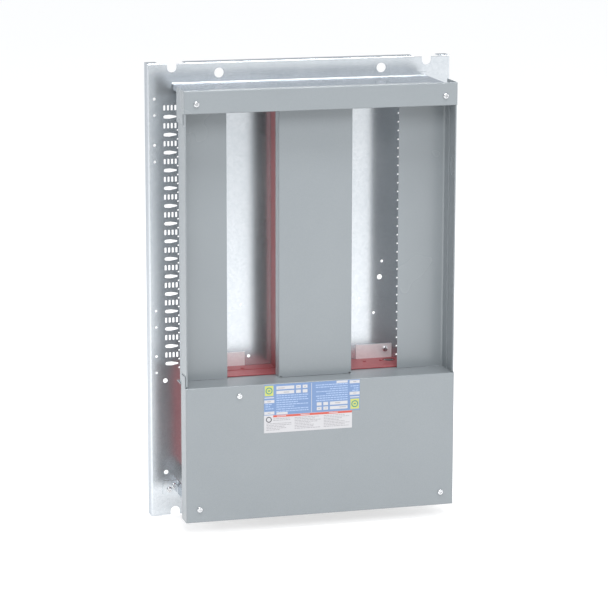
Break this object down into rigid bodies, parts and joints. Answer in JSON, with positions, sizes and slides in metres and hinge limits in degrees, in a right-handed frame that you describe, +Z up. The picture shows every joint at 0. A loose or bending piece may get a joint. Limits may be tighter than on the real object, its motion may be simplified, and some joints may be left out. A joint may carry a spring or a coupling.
{
  "type": "panelboard interior",
  "caption": "Plug-on distribution panelboard interior: galvanised pan, covered central bus stack, main lugs and a painted dead front with removable trim and lower cover.",
  "frame": {"origin": "centre of the pan's four round mounting holes, on the pan's rear face", "axes": "+X to the right as seen from the front, +Y towards the wall, +Z up"},
  "size_m": [0.6668, 0.2068, 0.9842],
  "materials": {
    "galvanised_steel": "hot-dip galvanised sheet with faint spangle, semi-gloss",
    "zinc_hardware": "bright zinc plate",
    "grey_enamel": "satin grey baked enamel over steel",
    "red_fibre": "red glass-polyester insulating sheet, semi-matte",
    "black_moulding": "black moulded insulator, satin",
    "tinned_bus": "tin-plated bar, dull bright",
    "lug_aluminium": "tin-plated extruded aluminium",
    "set_screw_steel": "plated socket set screw",
    "printed_label": null
  },
  "bodies": {
    "pan_assembly": {"back_pan": "galvanised_steel", "top_bracket": "galvanised_steel", "bottom_bracket_left": "galvanised_steel", "bottom_bracket_right": "galvanised_steel", "mid_bracket_left": "galvanised_steel", "mid_bracket_right": "galvanised_steel", "bracket_screws": "zinc_hardware", "cover_standoff": "galvanised_steel", "clip_nuts": "zinc_hardware", "barrier_shelf_left": "red_fibre", "barrier_shelf_right": "red_fibre", "barrier_rivets": "red_fibre", "side_barrier_left": "red_fibre", "side_barrier_right": "red_fibre", "bus_channel": "red_fibre", "bus_support_bases": "black_moulding", "bus_support_spacers": "black_moulding", "bus_support_caps": "black_moulding", "bus_clamp_bolts": "zinc_hardware", "bus_clamp_nuts": "zinc_hardware", "phase_bar_a": "tinned_bus", "phase_bar_b": "tinned_bus", "phase_bar_c": "tinned_bus", "lug_insulator_a": "black_moulding", "lug_insulator_b": "black_moulding", "lug_insulator_c": "black_moulding", "phase_lug_a": "lug_aluminium", "phase_lug_b": "lug_aluminium", "phase_lug_c": "lug_aluminium", "neutral_lug": "lug_aluminium", "lug_bolts": "zinc_hardware", "neutral_strap": "tinned_bus", "neutral_insulators": "black_moulding", "neutral_terminal_bar": "lug_aluminium", "neutral_terminal_screws": "zinc_hardware"},
    "upper_trim": {"top_channel": "grey_enamel", "trim_wall_left": "grey_enamel", "trim_wall_right": "grey_enamel", "side_panel_left": "grey_enamel", "side_panel_right": "grey_enamel", "centre_panel": "grey_enamel"},
    "cover": {"lower_cover": "grey_enamel", "rating_label": "printed_label"},
    "trim_screw_left": {"trim_screw_left": "zinc_hardware"},
    "trim_screw_right": {"trim_screw_right": "zinc_hardware"},
    "cover_screw_left": {"cover_screw_left": "zinc_hardware"},
    "cover_screw_right": {"cover_screw_right": "zinc_hardware"},
    "cover_screw_middle": {"cover_screw_middle": "zinc_hardware"},
    "lug_screw_a1": {"lug_screw_a1": "set_screw_steel"},
    "lug_screw_a2": {"lug_screw_a2": "set_screw_steel"},
    "lug_screw_b1": {"lug_screw_b1": "set_screw_steel"},
    "lug_screw_b2": {"lug_screw_b2": "set_screw_steel"},
    "lug_screw_c1": {"lug_screw_c1": "set_screw_steel"},
    "lug_screw_c2": {"lug_screw_c2": "set_screw_steel"},
    "lug_screw_n1": {"lug_screw_n1": "set_screw_steel"},
    "lug_screw_n2": {"lug_screw_n2": "set_screw_steel"}
  },
  "joints": [
    {"name": "upper_trim_lift_off", "type": "slide", "parent": "pan_assembly", "child": "upper_trim", "axis": [0, -1, 0], "range_m": [0, 0.2]},
    {"name": "cover_lift_off", "type": "slide", "parent": "pan_assembly", "child": "cover", "axis": [0, -1, 0], "range_m": [0, 0.2]},
    {"name": "trim_screw_left_turn", "type": "hinge", "parent": "upper_trim", "child": "trim_screw_left", "pos_m": [-0.26877, -0.17335, 0.42673], "axis": [0, -1, 0], "continuous": true},
    {"name": "trim_screw_right_turn", "type": "hinge", "parent": "upper_trim", "child": "trim_screw_right", "pos_m": [0.26877, -0.17335, 0.42673], "axis": [0, -1, 0], "continuous": true},
    {"name": "cover_screw_left_turn", "type": "hinge", "parent": "cover", "child": "cover_screw_left", "pos_m": [-0.26677, -0.17335, -0.43433], "axis": [0, -1, 0], "continuous": true},
    {"name": "cover_screw_right_turn", "type": "hinge", "parent": "cover", "child": "cover_screw_right", "pos_m": [0.26677, -0.17335, -0.43433], "axis": [0, -1, 0], "continuous": true},
    {"name": "cover_screw_middle_turn", "type": "hinge", "parent": "cover", "child": "cover_screw_middle", "pos_m": [-0.1795, -0.17335, -0.19332], "axis": [0, -1, 0], "continuous": true},
    {"name": "lug_screw_a1_drive", "type": "slide", "parent": "pan_assembly", "child": "lug_screw_a1", "axis": [0, 1, 0], "range_m": [0, 0.018]},
    {"name": "lug_screw_a2_drive", "type": "slide", "parent": "pan_assembly", "child": "lug_screw_a2", "axis": [0, 1, 0], "range_m": [0, 0.018]},
    {"name": "lug_screw_b1_drive", "type": "slide", "parent": "pan_assembly", "child": "lug_screw_b1", "axis": [0, 1, 0], "range_m": [0, 0.018]},
    {"name": "lug_screw_b2_drive", "type": "slide", "parent": "pan_assembly", "child": "lug_screw_b2", "axis": [0, 1, 0], "range_m": [0, 0.018]},
    {"name": "lug_screw_c1_drive", "type": "slide", "parent": "pan_assembly", "child": "lug_screw_c1", "axis": [0, 1, 0], "range_m": [0, 0.018]},
    {"name": "lug_screw_c2_drive", "type": "slide", "parent": "pan_assembly", "child": "lug_screw_c2", "axis": [0, 1, 0], "range_m": [0, 0.018]},
    {"name": "lug_screw_n1_drive", "type": "slide", "parent": "pan_assembly", "child": "lug_screw_n1", "axis": [0, 1, 0], "range_m": [0, 0.018]},
    {"name": "lug_screw_n2_drive", "type": "slide", "parent": "pan_assembly", "child": "lug_screw_n2", "axis": [0, 1, 0], "range_m": [0, 0.018]}
  ]
}
